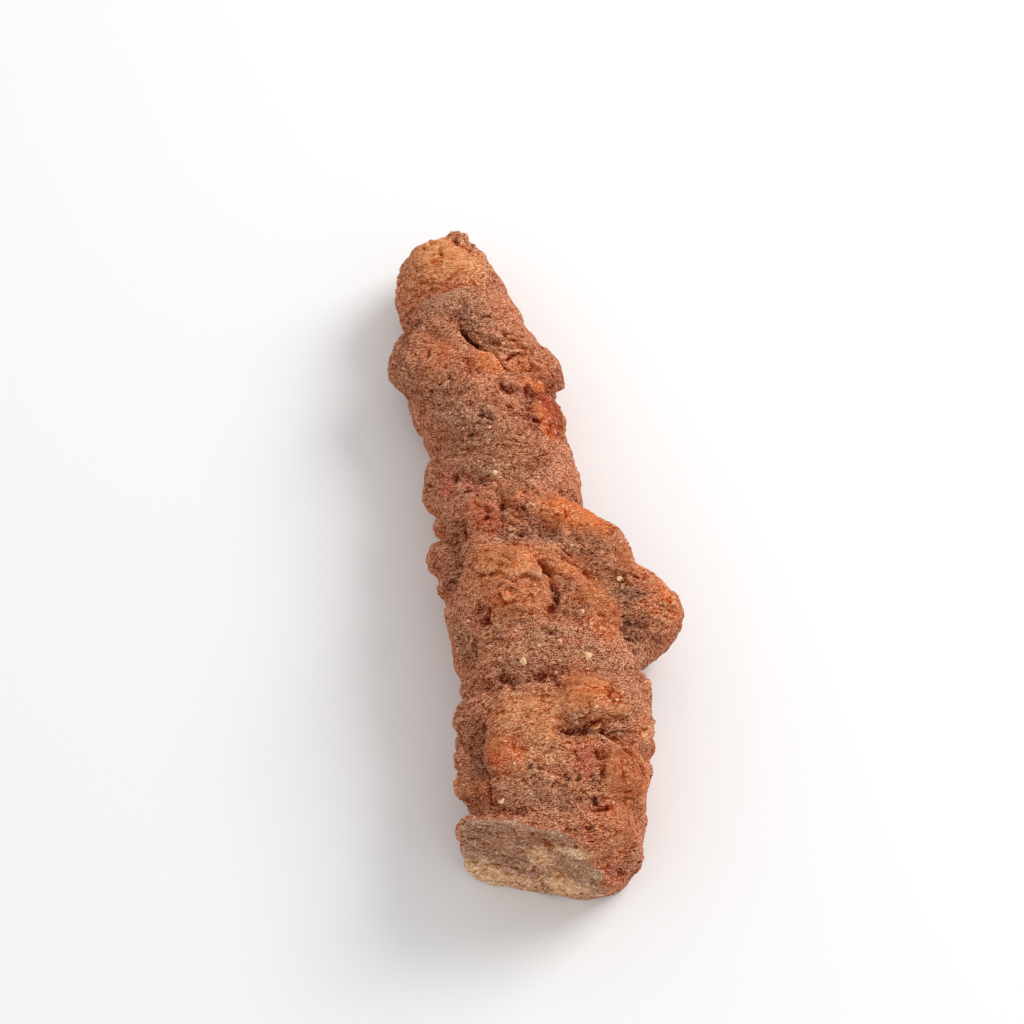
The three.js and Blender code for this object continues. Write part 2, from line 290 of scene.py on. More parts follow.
# low rounded lumps and, below 0, shallow dents: place, radius, height
swells = [
    ((61, 0), 3.5, -1.2),       # the tip's flat end
    ((58, -25), 2.5, -0.6),
    ((35, 90), 2.5, 1.1),
    ((35, 65), 2.5, 0.7),
    ((-31.5, 90), 3, 0.7),
    ((58, 20), 2.2, 1.0),       # the tip's knob
    ((38, 45), 1.8, 0.6),
    ((29, 10), 3.2, 0.7),       # the crown's tongue
    ((32, -35), 2.5, 0.4),
    ((8.5, 25), 2.4, -0.3),     # a dark hollow on the neck
    ((2, -25), 2.6, 0.5),
    ((-2, -30), 2.4, 0.5),
    ((-0.5, 0), 2, 0.9),        # the dark nub at the junction
    ((-3.5, 0), 1.8, -0.5),
    ((-4, 35), 5, 0.5),         # the side bulge's shoulder
    ((-9, 25), 4, 0.8),
    ((-20, 20), 1.8, -0.3),
    ((-17, 50), 3, -0.6),       # worn hollows on the bulge
    ((-24, 60), 3, -0.6),
    ((-13, -15), 5, 0.4),       # the front shoulder
    ((-18, -20), 3, 0.5),
    ((-36.5, 20), 4.4, 1.0),    # the boss
    ((-43, -35), 3.2, 0.7),
    ((-46, -65), 3.5, 0.5),
    ((-42, 60), 3.2, 0.4),
    ((-50, 40), 4.5, 0.6),
    ((-61, 65), 4, -0.6),       # the worn corner of the break
    ((-56, -120), 3, 0.8),
    ((-5, 50), 2.5, -0.6),      # the bulge's worn side
    ((-17, 65), 3.5, -0.8),
    ((-24, 85), 3.5, -0.8),
    ((-32, -85), 5, -0.6),
    ((-13, -85), 4, -0.6),
]

# ridges: path, half width, height
ridges = [
    ([(31, 5), (30, 10), (27, 15)], 0.8, 0.4),       # the tongue's edge
    ([(-15, 35), (-19, 40), (-23, 45)], 1.6, 0.4),   # the ridge beside the bulge
    ([(-41, 10), (-41.5, 20), (-41, 25)], 0.5, 0.4),
    ([(-41, 30), (-42.5, 35), (-44, 45)], 0.6, 0.7), # below the boss
    ([(48, 55), (41, 45)], 0.8, 0.4),
    ([(14, 75), (16.5, 90), (20, 120)], 2, 0.6),     # swellings down the right flank
    ([(-9.5, 75), (-7, 90), (-3, 125)], 1.8, 0.8),
    ([(-46, 75), (-43.5, 90), (-40, 120)], 1.5, 0.9),
    ([(-55, 75), (-52.5, 90), (-49, 120)], 2, 0.3),
]

# small steps, with the raised side to the left of the path's run: path, reach, height
ledges = [
    ([(37.5, -10), (33, 0), (30, 15), (26.5, 30)], 2.5, 0.6),    # along the crown's crevice
    ([(-15.5, 5), (-13.5, 5), (-11.5, 5)], 1.2, 0.4),            # the arrow's steep side
    ([(-11, -35), (-13, -30), (-13.5, -20)], 1.6, 0.8),          # folds on the front shoulder
    ([(-15.5, -15), (-15, -5), (-16, 5)], 1.6, 0.7),
    ([(-17, -25), (-19, -20), (-18.5, -15)], 1.8, 0.8),
    ([(-16, -35), (-17.5, -25)], 1.6, 0.6),
    ([(-6, 5), (-7, -10), (-5, -20)], 2.0, -0.6),
    ([(28, 55), (27, 45), (26.5, 30)], 1.6, 0.5),                # the block on the crown
    ([(30.5, 45), (30, 35), (29, 25)], 1.2, -0.4),
    ([(-7, 20), (-7, 30), (-7.5, 45)], 1.8, -0.15),              # the orange shoulder's edge
    ([(-40, 35), (-40, 10)], 2.5, 0.6),
]

# thin cracks: path, half width, depth
cracks = [
    ([(58, 10), (56, 15), (54.5, 25), (53.5, 30)], 0.5, 0.6),    # round the tip's knob
    ([(54.5, -10), (52, -10)], 0.35, 0.6),
    ([(37.5, -10), (36, -10), (34.5, -5)], 0.45, 0.7),            # the crown's crevice
    ([(34.5, -5), (33, 0), (32, 5)], 0.6, 1.0),
    ([(32, 5), (31, 10), (30, 15), (28, 20), (26.5, 30)], 0.42, 1.1),
    ([(26.5, 30), (27, 45), (28, 55)], 0.36, 1.0),               # the block on the crown
    ([(29, 25), (30, 35), (30.5, 45)], 0.34, 0.9),
    ([(30.5, 45), (28.5, 50), (27, 45)], 0.34, 0.8),
    ([(32.5, 20), (33, 45)], 0.32, 0.6),                         # fine lines above the block
    ([(34, 25), (34, 50)], 0.32, 0.5),
    ([(31.5, 30), (31.5, 55)], 0.32, 0.6),
    ([(30, -10), (28, -10), (26, -10)], 0.6, 0.5),               # left of the tongue
    ([(25, 15), (23, 15), (22.5, 20), (22.5, 30)], 0.45, 0.9),   # under the tongue
    ([(33.5, -40), (31.5, -40)], 0.35, 0.6),
    ([(33, 65), (29, 60), (25, 65)], 0.5, 0.5),                  # behind the right knob
    ([(16, 30), (16.5, 40)], 0.4, 0.8),
    ([(17, 50), (14, 45)], 0.36, 0.6),
    ([(9, -45), (7, -45)], 0.4, 0.7),
    ([(1, -10), (-0.5, -10), (-2, -10)], 0.42, 0.8),             # beside the dark nub
    ([(-2, 0), (-2.5, 5)], 0.4, 0.7),
    ([(-2, -20), (-3, -25)], 0.42, 0.8),
    ([(-1.5, -45), (-5, -45)], 0.42, 0.8),
    ([(0, 40), (2, 70)], 0.5, 0.9),                              # above the side bulge
    ([(-5, -20), (-6, -5), (-6, 10)], 0.45, 0.8),
    ([(-11.5, 5), (-13.5, 5), (-15.5, 5)], 0.4, 1.2),            # the arrow on the shoulder
    ([(-12.5, 5), (-15, 10)], 0.42, 1.0),
    ([(-15, 10), (-17, 10), (-19, 10), (-20.5, 5), (-21.5, 5)], 0.45, 1.1),   # the long crack under it
    ([(-10.5, 15), (-12, 25)], 0.32, 0.5),                       # lines that fan out on the bulge
    ([(-11, 20), (-13, 30), (-14.5, 40)], 0.34, 0.6),
    ([(-12.5, 25), (-14, 35)], 0.32, 0.5),
    ([(-9.5, 20), (-11, 30)], 0.32, 0.5),
    ([(-18, 40), (-19, 45)], 0.4, 0.7),
    ([(-15, 50), (-16, 60)], 0.36, 0.6),
    ([(-31, -15), (-31, -5)], 0.9, 0.6),                         # over the belt
    ([(-32, 0), (-33, 10)], 0.42, 0.8),
    ([(-33.5, 35), (-34, 40)], 0.4, 0.7),
    ([(-35, 35), (-37, 35)], 0.36, 0.6),
    ([(-40, 5), (-40.5, 15), (-40, 25), (-39.5, 30)], 0.45, 0.7),    # under the boss
    ([(-39.5, 30), (-42, 40), (-43.5, 45), (-45, 55)], 0.42, 0.8),
    ([(-45, 55), (-48, 60)], 0.5, 0.9),
    ([(-37, -20), (-38, -20)], 0.36, 0.7),
    ([(-41, -30), (-42, -25), (-43, -20)], 0.42, 0.4),
    ([(-37, -50), (-39, -55)], 0.6, 0.9),                        # the channel on the left
    ([(-42, -55), (-45, -50), (-48, -50), (-51, -45)], 0.6, 0.7),
    ([(-52, -30), (-52, -20)], 0.5, 0.7),
    ([(-26, -75), (-28, -75)], 0.9, 1.0),                        # hollows on the left flank
    ([(-35, -75), (-38, -75)], 0.9, 1.0),
    ([(-47, 5), (-48.5, 10)], 0.6, 0.6),
    ([(-46, 30), (-49, 30)], 0.4, 0.8),
    ([(-53, 25), (-53, 40)], 0.5, 1.1),                          # at the broken end
    ([(-51, 30), (-53, 30)], 0.36, 0.6),
    ([(-55.5, 30), (-56.5, 25)], 0.45, 0.8),
    ([(-56.5, -10), (-57, 0)], 0.9, 0.5),
    ([(-60, 110), (-59, 90)], 0.5, 0.8),
    ([(35, 95), (30, 120), (26, 135)], 0.5, 0.8),                # down the right flank
    ([(12, 95), (8, 125)], 0.45, 0.7),
    ([(-36, 95), (-33, 125), (-36, 140)], 0.5, 0.9),
    ([(20, -95), (26, -125)], 0.5, 0.8),                         # and down the left flank
    ([(-10, -95), (-5, -125), (-8, -140)], 0.5, 0.8),
    ([(-38, -100), (-33, -130)], 0.45, 0.7),
]

# small holes: place, half width, depth
holes = [
    ((22.5, 35), 0.7, 0.6),
    ((20.5, -15), 0.5, 0.6),
    ((19, 15), 0.5, 0.7),
    ((5.5, -30), 0.8, 0.5),
    ((-5.5, -15), 0.6, 0.8),
    ((-5.5, 0), 0.5, 0.7),
    ((-18, -40), 0.8, 0.7),     # the deep hole on the left
    ((-19.5, -40), 0.9, 0.8),
    ((-18.5, -30), 0.45, 0.9),
    ((-45, 15), 0.55, 0.6),
    ((-45, 30), 0.7, 0.6),
    ((-48.5, 15), 0.45, 0.8),
    ((-51, -40), 0.9, 0.7),     # the channel's hole
    ((-23, 105), 0.8, 0.9),
    ((44, 105), 0.6, 0.6),
    ((-46, 110), 0.7, 0.7),
    ((14, -110), 0.7, 0.7),
    ((-22, -115), 0.6, 0.6),
]

# colour patches: path, reach to each side, strength
orangeSpots = [
    ([(55, -30), (51, -5), (48, -30)], 4, 0.2),
    ([(29, 5), (27, 15)], 1.8, 0.8),                 # the crown's tongue
    ([(24, 30), (24, 50)], 1.3, 1),
    ([(19, 40), (14.5, 45)], 1.9, 0.9),              # the strong stain on the right of the crown
    ([(1, 5), (0, 10)], 1.1, 0.9),
    ([(-2, 30), (-4, 45)], 3.2, 1.4),                # the side bulge's shoulder
    ([(-6, 30), (-6, 45)], 2, 0.7),
    ([(-13, 15), (-14.5, 20)], 1.2, 0.9),
    ([(-16, 30), (-20, 40), (-24, 40)], 2.2, 0.5),
    ([(-18, -25), (-18, -20)], 1.7, 0.8),
    ([(-12, -20), (-12, 0)], 3, 0.4),
    ([(-17, 70), (-21, 75)], 1.6, 0.8),
    ([(-19.5, 60), (-20.5, 65)], 1.1, 0.9),
    ([(-35, 15), (-36, 30)], 2.4, 0.6),              # the boss
    ([(-42, -40), (-44, -35)], 2.0, 0.6),
    ([(-43, 10), (-43, 25)], 1.4, 0.9),
    ([(-46, 45), (-50, 50)], 2.6, 0.4),
    ([(-56, 30), (-58, 35)], 1.6, 0.9),
    ([(-54, 70), (-59, 75)], 1.5, 0.8),
    ([(-53, -75), (-54, -95)], 1.6, 0.8),
    ([(30, 105), (20, 115)], 4, 0.6),                # on the flanks
    ([(-40, 105), (-48, 115)], 4, 0.6),
    ([(10, -105), (2, -115)], 4, 0.5),
    ([(-25, -105), (-35, -110)], 4, 0.6),
]
redSpots = [
    ([(55, 20), (53.5, 30)], 1.1, 1),
    ([(47, -10), (47, 0)], 1.4, 0.6),
    ([(33, -35), (31, -30)], 1.6, 0.6),
    ([(29, -10), (26, -10)], 1.4, 0.8),
    ([(17.5, 20), (17, 25)], 1.6, 0.8),
    ([(20, 50), (16, 50)], 2, 0.8),
    ([(9, -50), (6, -50)], 1.9, 1),
    ([(6.5, -35), (3.5, -25)], 1.4, 0.8),
    ([(0, -30), (-3, -20), (-1, -20)], 2.3, 0.9),    # the red junction
    ([(-3, -45), (-4, -40)], 1.3, 0.9),
    ([(0, -5), (-1, 0)], 1.3, 0.9),
    ([(-6, -65), (-8, -70)], 2, 0.7),
    ([(-15, 60), (-17, 65)], 1.6, 0.6),
    ([(-26, 10), (-26, 15)], 1.1, 0.9),
    ([(-24, -30), (-24, -25)], 1.4, 0.6),
    ([(-44, 20), (-47, 20)], 1.8, 0.9),
    ([(-43, -40), (-44, -35)], 1.1, 0.8),
    ([(-53, 25), (-53, 40)], 1.1, 0.9),
    ([(-56, 25), (-57, 25)], 1.1, 0.9),
    ([(-42, 55), (-45, 55)], 1.6, 0.5),
    ([(-59, 80), (-61, 100)], 1.8, 0.8),
]
sandSpots = [
    ([(43, -30), (42, 0), (38, 10)], 3, 0.9), ([(20, -30), (17, -10), (12, -5)], 4, 0.4),
    ([(14, -40), (11, -25)], 3, 0.3), ([(32, 25), (31, 50)], 2.6, 0.5), ([(9, -25), (7, 0)], 2, 0.7),
    ([(-6, -15), (-6, 15), (-8, 25)], 1.7, 0.9), ([(-9, 35), (-12, 45)], 2, 0.6),
    ([(-17, 45), (-18, 55)], 2, 0.7), ([(-23, 60), (-25, 65)], 2.3, 0.9),
    ([(-26, -5), (-27, 20)], 3, 1), ([(-29, 30), (-30, 45)], 2.6, 0.7),
    ([(-28, -30), (-30, -20)], 2.6, 0.6), ([(-18, -60), (-23, -60)], 2.6, 0.7),
    ([(-50, -10), (-51, 0)], 2.6, 0.8), ([(-46, -20), (-50, -25)], 2.6, 0.6),
    ([(-38, -55), (-43, -55)], 1.6, 0.7), ([(-38.5, 10), (-38.5, 25)], 1, 0.6),
]
rustSpots = [
    ([(23, 50), (17, 45)], 4, 1.6), ([(-43, -40), (-44, -35)], 1.8, 0.7),
    ([(-46, 50), (-50, 50)], 3, 0.7), ([(-2, -25), (0, -35)], 2.5, 0.3), ([(24, 55), (27, 70)], 2.5, 0.7),
]
paleSpots = [
    ([(56, -25), (51, 0), (52, 20)], 5, 1.6), ([(-36, -25), (-38, 0)], 4, 0.8),
    ([(1, -30), (-2, -30)], 2.5, 0.7), ([(-42, -10), (-46, 0)], 4, 0.8),
    ([(-22, -40), (-27, -25)], 3.5, 0.5), ([(-22, 75), (-25, 80)], 3, 0.5),
    ([(33, -35), (30, -45)], 3, 0.5), ([(-12, -20), (-12, 5)], 3, 0.5), ([(-42, 60), (-45, 60)], 2, 0.5),
]
umberSpots = [
    ([(-9, 40), (-16, 45), (-20, 45)], 4.5, 1.3), ([(-42, -45), (-46, -35)], 3.5, 1.2),
    ([(-60, 60), (-61, 75)], 2.5, 0.9), ([(21, -35), (17, -20), (11, -15)], 5, 1.1),
    ([(-3, -60), (-9, -65)], 4, 0.9),
    ([(-22, -60), (-26, -65)], 4, 0.3), ([(-17, 60), (-22, 60)], 3, 0.7), ([(-46, 45), (-51, 50)], 4, 0.9),
    ([(8, 10), (10, 35)], 4, 0.6), ([(0, -5), (-4, 5)], 2.4, 1), ([(-37, -60), (-44, -60)], 3, 0.7),
    ([(0, 115), (-10, 120)], 5, 0.6), ([(40, -105), (30, -110)], 5, 0.5), ([(-48, 125), (-56, 110)], 4, 0.5),
    ([(38, -50), (36, -30)], 4, 0.5), ([(58, 15), (56, 30)], 2, 0.7), ([(-43, 20), (-48, 25)], 2.5, 0.8),
]
smoothSpots = [
    ([(56, -15), (50, -5)], 6, 0.9), ([(50, -45), (46, -50)], 4, 0.6), ([(30, 5), (27, 10)], 2.5, 0.8),
    ([(31, 30), (28, 50)], 3.5, 0.8), ([(33, -35), (31, -30)], 3, 0.7),
    ([(22, 50), (16, 50)], 3.5, 0.8), ([(0, -30), (-3, -25)], 3, 0.6),
    ([(-2, 30), (-5, 45)], 5, 1), ([(0, -5), (-3.5, 0)], 2, 0.7), ([(-12, -25), (-13, 0)], 5, 1),
    ([(-17, -25), (-18, -5)], 4, 0.9), ([(-14, 30), (-23, 40)], 3.5, 0.9), ([(-8, 40), (-14, 55)], 4, 0.7),
    ([(-12, 60), (-20, 75)], 4, 0.6), ([(-19, 75), (-22, 85)], 3, 0.5), ([(-35, 15), (-37, 30)], 4.5, 1),
    ([(-36, -30), (-38, -5)], 4, 0.6), ([(-42, -40), (-44, -30)], 3.5, 1), ([(-45, -70), (-47, -60)], 3, 0.6),
    ([(-41, 60), (-44, 65)], 3, 0.6), ([(-46, 45), (-51, 50)], 4.5, 1), ([(-54, 45), (-57, 55)], 3.5, 0.8),
    ([(32, 105), (22, 110)], 5, 0.8), ([(-42, 105), (-50, 110)], 5, 0.8), ([(50, 95), (44, 105)], 5, 0.7),
    ([(10, -105), (0, -110)], 5, 0.8), ([(-27, -105), (-37, -110)], 5, 0.7),
]
wrinkledSpots = [
    ([(33, 20), (28, 50)], 4, 1), ([(34, -35), (31, -25)], 3, 0.4), ([(-8, 15), (-12, 35)], 4, 0.6),
    ([(-13, 50), (-17, 60)], 4, 0.8), ([(-13, -25), (-20, -15), (-18, 5)], 4, 0.7),
    ([(-41, 10), (-41, 25)], 2, 1), ([(-53, -10), (-55, 10)], 4, 0.4),
]


# patches on the broken face, as its (x, z) middle and the reach both ways
faceSpots = {
    "faceTan": [
        ((-14, 3.5), (7, 3.5)), ((-4, 5), (5, 3.6)), ((-7.5, 13), (2, 4)), ((-3, 17.5), (3, 1.5)),
    ],
    "faceGrey": [((-1, 11.5), (2.8, 4))],
}


def breakShare(points):
    # 1 on the broken face, 0 on the skin
    x, y, z = points.T
    behind = y - (breakPlane["y"] + breakPlane["perX"] * x + breakPlane["perZ"] * z)
    onPlane = smoothStep(-behind, -breakPlane["edge"], -0.15)
    size, height = breakPlane["wave"]
    wavy = height * fractalField(points, size, 2, 4.4)
    onPlane *= smoothStep(x + wavy, breakPlane["left"], breakPlane["left"] + 1)
    return onPlane * smoothStep(-(x + 0.3 * z + wavy), -breakPlane["right"] - 3.5, -breakPlane["right"])


def cutFolds(skin):
    size, height = stoneSettings["swell"]
    skin.points += skin.normals * (height * fractalField(skin.points, size, 2, 3.1))[:, None]
    skin.refresh(stoneSettings["foldFacing"])
    for path, wide, deep in folds:
        skin.carve(path, wide, deep, wobble=0.6, edge=2)
    for place, size, high in swells:
        skin.swell(place, size, high)
    for path, wide, high in ridges:
        skin.carve(path, wide, -high, wobble=0.4, edge=2)
    x, y, z = skin.points.T
    skin.points[:, 1] = np.maximum(y, np.interp(x, footLine["x"], footLine["y"]) + footLine["perZ"] * z)
    skin.points[:, 2] = np.maximum(z, 0)
    skin.refresh(2)


def flakeField(points, size, grooveWidth):
    # flat chips at random tilts, and how near each point is to the groove between two chips
    stretched = points / size
    found = [noise.voronoi(row) for row in stretched.tolist()]
    middles = np.array([places[0] for _, places in found])
    reach = np.array([distances[:2] for distances, _ in found])
    tilts = np.array([noise.noise_vector(Vector(middle) * 3.7) for middle in middles])
    heights = np.clip(np.einsum("ij,ij->i", tilts, stretched - middles), -0.3, 0.22)
    grooves = np.exp(-(((reach[:, 1] - reach[:, 0]) / grooveWidth) ** 2))
    return heights, grooves


def stretchedPoints(points, wide, long):
    # stretched along the stone, so that what is laid on them comes out long round it and narrow along it
    slant = np.interp(points[:, 1], creaseSlant["y"], creaseSlant["slant"])
    stretched = points.copy()
    stretched[:, 1] = (points[:, 1] + slant * points[:, 0]) * long / wide
    return stretched


def wrinkleShape(skin):
    wide, long, deep = stoneSettings["wrinkle"]
    lines = fractalField(stretchedPoints(skin.points, wide, long), long, 3, 2.7)
    creased = 0.2 + 0.5 * smoothStep(fractalField(skin.points, 11, 2, 1.2), -0.1, 0.3)
    creased = np.maximum(creased, skin.blotch(wrinkledSpots))
    steps = 0.25 * np.tanh(lines / 0.07)
    return deep * creased * (0.7 * lines + steps - np.exp(-((lines / 0.1) ** 2)))


def flakeShape(skin):
    # chips with grooves between them, and small chips over both
    points = skin.points
    wide, long, tilt = stoneSettings["flake"]
    stretched = stretchedPoints(points, wide, long)
    stretched += 0.9 * np.array([noise.noise_vector(row) for row in (points / 1.8).tolist()])
    grooveWidth, grooveDepth = stoneSettings["groove"]
    heights, grooves = flakeField(stretched, long, grooveWidth)
    chipped = smoothStep(fractalField(points, 8, 2, 6.6), -0.2, 0.3)
    flakes = tilt * chipped * skin.averaged(heights[:, None], 1)[:, 0]
    broken = smoothStep(fractalField(points, 2.2, 2, 4.9), -0.1, 0.3)
    flakes -= grooveDepth * chipped * broken * grooves

    wide, long, tilt = stoneSettings["chip"]
    stretched[:, 1] = points[:, 1] * long / wide
    heights, _ = flakeField(stretched, long, grooveWidth)
    return flakes + tilt * heights * smoothStep(fractalField(points, 5, 2, 3.3), -0.3, 0.3)


def pitShape(points):
    size, depth = stoneSettings["pit"]
    pits = depth * smoothStep(fractalField(points, size, 3, 3.6), 0.45, 0.8)
    return pits * smoothStep(fractalField(points, 6, 2, 5.1), 0, 0.3)


def cutCracks(skin):
    # cuts cracks and holes, and gives how near each point is to one
    nearCrack = np.zeros(len(skin.points))
    carved = [skin.carve(path, wide, deep, wobble=0.35) for path, wide, deep in cracks]
    carved += [skin.pit(place, wide, deep) for place, wide, deep in holes]
    for picked, fall in carved:
        nearCrack[picked] = np.maximum(nearCrack[picked], fall)
    skin.points[:, 2] = np.maximum(skin.points[:, 2], 0)
    skin.refresh(2)
    return nearCrack


def facePatch(points, spots):
    values = np.zeros(len(points))
    for middle, size in spots:
        gaps = ((points[:, [0, 2]] - middle) / size) ** 2
        values = np.maximum(values, np.exp(-gaps.sum(1)))
    return values


def addTexture(skin):
    for path, reach, high in ledges:
        skin.ledge(path, reach, high)
    points = skin.points
    face = breakShare(points)
    spotLists = {
        "sand": sandSpots, "orange": orangeSpots, "umber": umberSpots, "pale": paleSpots,
        "rust": rustSpots, "red": redSpots, "smooth": smoothSpots,
    }
    patches = {name: skin.blotch(spots) for name, spots in spotLists.items()}
    patches["brokenFace"] = face
    rough = 0.75 + 0.35 * patches["sand"]
    rough *= 0.4 + 0.9 * smoothStep(fractalField(points, 7, 2, 8.2), -0.3, 0.35)
    rough *= 1 - 0.7 * patches["smooth"]
    rough *= 0.6 + 0.4 * smoothStep(skin.normals[:, 2], -0.1, 0.45)      # the flanks are worn smoother

    size, height = stoneSettings["knuckle"]
    knuckles = height * fractalField(points, size, 2, 4.4)
    flakes = flakeShape(skin)
    size, height = stoneSettings["crumb"]
    crumbs = height * (np.sqrt(np.abs(fractalField(points, size, 3, 6.1))) - 0.5)
    size, height = stoneSettings["grit"]
    grit = height * fractalField(points, size, 2, 9.4)
    skinShape = (knuckles + wrinkleShape(skin)) * (0.5 + 0.5 * rough)
    skinShape += (crumbs + flakes + grit) * rough - pitShape(points)

    layers = fractalField(points * (0.3, 1, 1), 1.6, 3, 7.7)
    faceShape = 0.2 * crumbs + 0.25 * grit + 0.4 * layers + 0.1 * flakes
    faceShape += 0.5 * smoothStep(-points[:, 2] - layers, -5.5, -3.5)      # the foot of the break flares out
    shape = skinShape * (1 - face) + faceShape * face
    skin.points += skin.normals * shape[:, None]
    skin.refresh(stoneSettings["crackFacing"])
    # how near each point is to a crack or hole, which the material darkens as painted shade
    patches["crack"] = cutCracks(skin)
    # how far each point stands out of or sinks into the skin around it, which the material paints as light on
    # bumps and shade in hollows
    for name, rounds in (("fineRelief", 8), ("broadRelief", 60)):
        softened = skin.averaged(skin.points, rounds)
        patches[name] = np.einsum("ij,ij->i", skin.points - softened, skin.normals)
    for name, spots in faceSpots.items():
        patches[name] = facePatch(skin.points, spots)
    for name, values in patches.items():
        skin.store(name, values)
    return patches["sand"]


def linear(code):
    # a colour code such as a6684a as linear values
    parts = [int(code[i:i + 2], 16) / 255 for i in (0, 2, 4)]
    return [p / 12.92 if p <= 0.04045 else ((p + 0.055) / 1.055) ** 2.4 for p in parts] + [1.0]


class Nodes:
    # short calls that build a material's node tree

    def __init__(self, name):
        self.material = bpy.data.materials.new(name)
        self.material.use_nodes = True
        self.tree = self.material.node_tree
        self.shader = self.tree.nodes["Principled BSDF"]

    def plug(self, value, socket):
        if isinstance(value, bpy.types.NodeSocket):
            self.tree.links.new(value, socket)
        else:
            socket.default_value = value

    def make(self, kind, **settings):
        node = self.tree.nodes.new(kind)
        for name, value in settings.items():
            setattr(node, name, value)
        return node

    def noise(self, place, size, detail=3, rough=0.6):
        node = self.make("ShaderNodeTexNoise")
        self.plug(place, node.inputs["Vector"])
        node.inputs["Scale"].default_value = 1 / (size * mm)
        node.inputs["Detail"].default_value = detail
        node.inputs["Roughness"].default_value = rough
        return node.outputs["Fac"]

    def cells(self, place, size, output="Distance", feature="F1"):
        node = self.make("ShaderNodeTexVoronoi", feature=feature)
        self.plug(place, node.inputs["Vector"])
        node.inputs["Scale"].default_value = 1 / (size * mm)
        return node.outputs[output]

    def bend(self, place, size, amount):
        # the place pushed about by a noise, so that what is laid on it runs crooked
        node = self.make("ShaderNodeTexNoise")
        self.plug(place, node.inputs["Vector"])
        node.inputs["Scale"].default_value = 1 / (size * mm)
        push = self.make("ShaderNodeVectorMath", operation="MULTIPLY_ADD")
        self.plug(node.outputs["Color"], push.inputs[0])
        push.inputs[1].default_value = [amount * mm] * 3
        self.plug(place, push.inputs[2])
        return push.outputs[0]

    def stretch(self, place, shares):
        node = self.make("ShaderNodeVectorMath", operation="MULTIPLY")
        self.plug(place, node.inputs[0])
        node.inputs[1].default_value = shares
        return node.outputs[0]

    def vector(self, operation, first, second):
        node = self.make("ShaderNodeVectorMath", operation=operation)
        self.plug(first, node.inputs[0])
        self.plug(second, node.inputs[1])
        return node.outputs[0]

    def add(self, *terms):
        # the sum of (amount, value) terms
        total = 0.0
        for amount, value in terms:
            total = self.math("ADD", self.math("MULTIPLY", value, amount), total)
        return total

    def chance(self, place, size):
        # three random values for each grain of the size
        split = self.make("ShaderNodeSeparateColor")
        self.plug(self.cells(place, size, "Color"), split.inputs[0])
        return split.outputs

    def attribute(self, name):
        return self.make("ShaderNodeAttribute", attribute_name=name).outputs["Fac"]

    def span(self, value, low, high, toLow=0.0, toHigh=1.0):
        node = self.make("ShaderNodeMapRange", interpolation_type="SMOOTHSTEP")
        for index, item in enumerate((value, low, high, toLow, toHigh)):
            self.plug(item, node.inputs[index])
        return node.outputs["Result"]

    def math(self, operation, first, second=0.0):
        node = self.make("ShaderNodeMath", operation=operation)
        self.plug(first, node.inputs[0])
        self.plug(second, node.inputs[1])
        return node.outputs[0]

    def mix(self, share, first, second, blend="MIX"):
        node = self.make("ShaderNodeMix", data_type="RGBA", blend_type=blend)
        self.plug(share, node.inputs[0])
        self.plug(first, node.inputs[6])
        self.plug(second, node.inputs[7])
        return node.outputs[2]


# hollowShade is the dark brown that is painted as shade into the hollows
skinColours = {
    "brown": "ad633c", "salmon": "bf6d41", "pale": "d28956", "orange": "c66933", "red": "b65332",
    "sand": "b6754b", "umber": "93502a", "rust": "822f0a", "hollowShade": "5a2810",
    "facePlum": "9f6c51", "faceTan": "dfae84", "faceGrey": "ac8263", "fleck": "f0cca6",
}

# how fully each kind of patch hides the brown under it, at most
patchCover = {"umber": 0.65, "sand": 0.7, "pale": 0.85, "rust": 0.95, "orange": 0.92, "red": 0.75}

# sizes of the pattern in the skin's colour, in millimetres
patternSizes = {
    "broad": 9, "patch": 2.4, "bend": 3, "streak": 0.42, "finest": 0.15, "dash": 0.12, "line": 1.6,
    "grain": 0.22, "crumb": 0.5, "fleck": 0.35, "fleckArea": 4, "layer": 0.8,
}

# the finest relief, which only the shading shows: size in millimetres and height, or the height
# alone where patternSizes holds the size
bumps = {"grain": (0.34, -0.3), "crumb": (0.75, -0.25), "lump": (1.1, 0.4), "streak": 0.3, "finest": 0.2}

# roughness from the smoothest to the roughest speck, and relief on rough and on even skin
stoneFinish = {"roughness": (0.8, 0.95), "specular": 0.12, "relief": (0.9, 0.35)}

# how much each part of the pattern lightens or darkens the skin; crack, fineRelief and broadRelief are
# painted shade in cracks and hollows and painted light on bumps
patternStrength = {
    "finest": 2.5, "streak": 0.2, "grain": 0.1, "crumb": 0.05, "line": 0.2, "crack": 0.2,
    "fineRelief": 0.5, "broadRelief": 0.03, "faceLine": 0.5,
    "lightest": 0.3, "darkest": -0.36,
}


